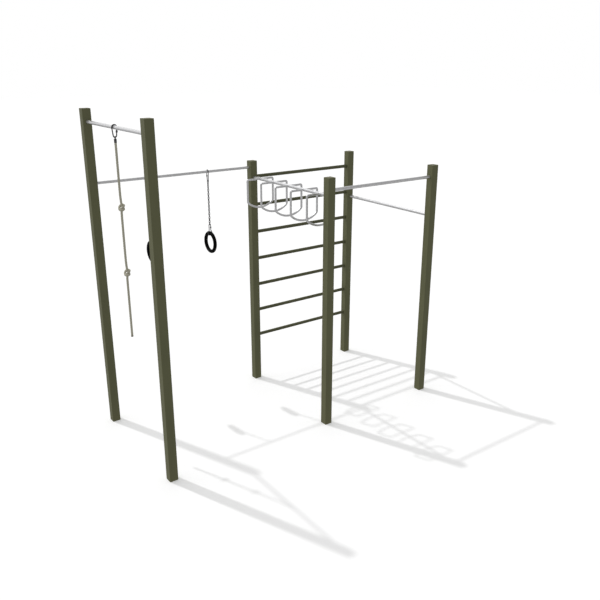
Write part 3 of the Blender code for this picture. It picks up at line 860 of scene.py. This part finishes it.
def link_path(top, top_radius, bottom, bottom_radius):
    """An open loop of two arcs and two straight legs, from the middle of its +X leg round and back."""
    lean = math.asin((bottom_radius - top_radius) / (top - bottom))
    degrees = math.degrees(lean)
    upper = arc((0, top), top_radius, degrees, 180 - degrees, 24)
    lower = arc((0, bottom), bottom_radius, 180 - degrees, 360 + degrees, 24)
    middle_leg = (Vector(upper[0]) + Vector(lower[-1])) / 2
    return opened(upper + lower, middle_leg, lean), middle_leg, lean


def hanger_path(top, neck, bottom):
    """A closed loop with a narrow neck: straight legs under a small upper arc, which part at the height
    neck and run out to the wide lower arc round a ring. It is then opened like link_path's."""
    rise = neck - bottom
    reach = math.hypot(HANGER_TOP_RADIUS, rise)
    touch = math.degrees(math.atan2(rise, HANGER_TOP_RADIUS) - math.acos(HANGER_RADIUS / reach))
    upper = arc((0, top), HANGER_TOP_RADIUS, 0, 180, 24)
    lower = arc((0, bottom), HANGER_RADIUS, 180 - touch, 360 + touch, 36)
    left, right = (-HANGER_TOP_RADIUS, 0, neck), (HANGER_TOP_RADIUS, 0, neck)
    corners = [*upper, left, *lower, right]
    loop = fillet(corners, {len(upper): HANGER_BEND, len(corners) - 1: HANGER_BEND})
    middle_leg = Vector((HANGER_TOP_RADIUS, 0, (top + neck) / 2))
    return opened(loop, middle_leg, 0), middle_leg, 0


def opened(loop, middle_leg, lean):
    """The loop opened inside its nut, with points close enough together for the thread above it."""
    along = Vector((-math.sin(lean), 0, math.cos(lean)))
    first = NUT_LENGTH / 2
    run = int(THREAD_LENGTH / THREAD_PITCH * 6)
    threaded = [middle_leg + along * (first + THREAD_LENGTH * i / run) for i in range(run + 1)]
    half_gap = along * LINK_OPENING / 2
    path = [middle_leg + half_gap, *threaded, *loop, middle_leg - half_gap]
    return [tuple(p) for p in path]


def link_wire(path, wire):
    """A link's wire along its path, with a screw thread just outside its nut."""
    start = (NUT_LENGTH - LINK_OPENING) / 2

    def radius_at(distance, angles):
        inside = start < distance < start + THREAD_LENGTH
        turn = (distance / THREAD_PITCH - angles / (2 * np.pi)) % 1
        return wire - inside * THREAD_DEPTH * 2 * np.abs(turn - 0.5)

    return sweep(path, radius_at, 18)


def nut_shape(wire):
    """A long six-sided nut with turned-off ends, about Z."""
    sides = 48
    angles = 2 * np.pi * np.arange(sides) / sides
    corner = wire + NUT_CORNER_EXTRA
    flat = corner * math.cos(math.pi / 6)
    six = flat / np.cos((angles + np.pi / 6) % (np.pi / 3) - np.pi / 6)
    bore = np.full(sides, wire + 0.0001)
    half = NUT_LENGTH / 2
    layers = [(bore, -half), (np.full(sides, flat - 0.0004), -half)]
    for inset, depth in ((0.00035, 0.0004), (0.0, 0.0011)):
        layers.append((np.minimum(six, corner - inset), -half + depth))
    layers += [(radius, -z) for radius, z in reversed(layers)]
    rings = []
    for radius, z in layers:
        rings.append([(r * math.cos(a), r * math.sin(a), z) for r, a in zip(radius, angles)])
    return loft(rings, True)


def add_link(names, nodes, shape, wire, look, body, place, turned_link):
    path, middle_leg, lean = shape
    turn = (0, 0, math.pi / 2) if turned_link else (0, 0, 0)
    mesh = new_mesh(names[0], [link_wire(path, wire)])
    add_piece(names[0], mesh, look, body, [nodes[0]], place, turn)
    points, faces = nut_shape(wire)
    leaning = [Matrix.Rotation(-lean, 3, "Y") @ Vector(p) + middle_leg for p in points]
    mesh = new_mesh(names[1], [(leaning, faces)], 25)
    add_piece(names[1], mesh, look, body, [nodes[1]], place, turn)


def chain_shapes():
    """Every link of the chain, hanging from the origin, each turned a quarter from the one above."""
    half_straight = CHAIN_PITCH / 2 + WIRE_RADIUS - CHAIN_HALF_WIDTH
    upper = arc((0, half_straight), CHAIN_HALF_WIDTH, 0, 180, 10)
    lower = arc((0, -half_straight), CHAIN_HALF_WIDTH, 180, 360, 10)
    weld = [(CHAIN_HALF_WIDTH, 0, z) for z in (-0.0022, -0.0012, 0.0, 0.0012, 0.0022)]
    path = upper + lower + weld
    bottom_leg = sum(math.dist(a, b) for a, b in zip(path, path[: len(upper + lower)][1:]))

    def radius_at(distance, angles):
        swell = math.exp(-(((distance - bottom_leg - half_straight) / 0.0016) ** 2))
        return WIRE_RADIUS * (1 + 0.11 * swell)

    points, faces = sweep(path, radius_at, 12, True)
    shapes = []
    for i in range(CHAIN_LINKS):
        z = -(half_straight + CHAIN_HALF_WIDTH) - i * CHAIN_PITCH
        if i % 2:
            placed = [(-p[1], p[0], p[2] + z) for p in points]
        else:
            placed = [(p[0], p[1], p[2] + z) for p in points]
        shapes.append((placed, faces))
    return shapes


def gym_ring_shape(outer_radius):
    """A round ring with a fine moulding line round its outside and inside, its tube's top at z = 0."""
    seam_height = 0.00022
    radius = outer_radius - RING_SECTION_RADIUS - seam_height
    path = [(0, p[0], p[2]) for p in arc((0, -radius), radius, 0, 357.5, 143)]

    def radius_at(distance, angles):
        seam = np.exp(-((np.cos(angles) / 0.06) ** 2))
        return RING_SECTION_RADIUS + seam_height * seam

    return sweep(path, radius_at, 64, True)


def beam_link(bar, wire, drop, eye):
    """A pear-shaped link that goes round a bar, with its lowest wire drop below the bar's axis."""
    return link_path(0, BAR_DIAMETERS[bar] / 2 + LINK_PLAY + wire, eye - drop, eye)


def add_ring_set(side, steel, rubber):
    ring = middle("gym_ring_" + side)
    beam = middle("ring_beam")
    place = (ring.x, beam.y, beam.z)
    shape = beam_link("ring_beam", RING_LINK_WIRE, RING_LINK_DROP, RING_LINK_EYE)
    names = (side + "_beam_link", side + "_beam_link_nut")
    nodes = ("ring_link_" + side, "ring_link_nut_" + side)
    add_link(names, nodes, shape, RING_LINK_WIRE, steel, side + "_ring_link", place, True)

    pivot_z = beam.z - RING_LINK_DROP
    mesh = new_mesh(side + "_chain_links", chain_shapes())
    at = (ring.x, beam.y, pivot_z + HUNG_STEP)
    body = side + "_chain"
    add_piece(side + "_chain_links", mesh, steel, body, ["ring_chain_" + side], at)

    chain_low = HUNG_STEP - CHAIN_LINKS * CHAIN_PITCH - 2 * WIRE_RADIUS
    top = chain_low + HUNG_STEP - HANGER_TOP_RADIUS
    ring_z = RING_TUBE_TOP - pivot_z
    shape = hanger_path(top, ring_z + HANGER_NECK, ring_z)
    names = (side + "_ring_hanger", side + "_ring_hanger_nut")
    nodes = ("ring_hanger_" + side, "ring_hanger_nut_" + side)
    hung_at = (ring.x, beam.y, pivot_z)
    add_link(names, nodes, shape, RING_LINK_WIRE, steel, body, hung_at, False)

    low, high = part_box("gym_ring_" + side)
    mesh = new_mesh(side + "_rubber_ring", [gym_ring_shape((high.y - low.y) / 2)])
    at = (ring.x, beam.y, RING_TUBE_TOP)
    add_piece(side + "_rubber_ring", mesh, rubber, side + "_ring", ["gym_ring_" + side], at)


def main():
    add_camera()
    rope_yarn = rope_look("rope_yarn", (0.68, 0.66, 0.53), (0.43, 0.41, 0.32), 15.0)
    sealed = zinc_look("sealed_end", (0.24, 0.22, 0.16), (0.16, 0.15, 0.11), 0.0, 0.6, 300.0)
    dark_zinc = zinc_look("dark_zinc_coat", (0.11, 0.11, 0.112), (0.07, 0.07, 0.072), 0.35, 0.5, 320.0)
    zinc = zinc_look("galvanised_coat", (0.86, 0.86, 0.87), (0.70, 0.70, 0.71), 0.85, 0.36, 75.0)
    post_paint = paint_look("post_paint", (0.172, 0.176, 0.092), (0.147, 0.150, 0.078), True)
    # The rungs get the posts' olive paint made darker. This is painted shade on the rungs and their weld
    # beads.
    shaded_rung_paint = paint_look("shaded_rung_paint", (0.125, 0.128, 0.070), (0.105, 0.108, 0.058), False)

    rope, route, length = add_rope(rope_yarn)
    end = add_rope_end(sealed)
    add_ferrule(dark_zinc)
    add_eye(dark_zinc)
    beam = middle("rope_beam")
    names = ("rope_screw_link", "rope_screw_link_nut")
    nodes = ("rope_link", "rope_link_nut")
    shape = beam_link("rope_beam", ROPE_LINK_WIRE, ROPE_LINK_DROP, ROPE_LINK_EYE)
    add_link(names, nodes, shape, ROPE_LINK_WIRE, dark_zinc, "rope_hanger", beam, False)

    add_posts(post_paint)
    add_bars(zinc, shaded_rung_paint)
    add_grips(zinc)
    rubber = rubber_look()
    for side in ("left", "right"):
        add_ring_set(side, dark_zinc, rubber)
    for name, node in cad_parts.items():
        if name.startswith("foot_plate_"):
            node.data.materials.clear()
            node.data.materials.append(zinc)
    add_studio()


main()
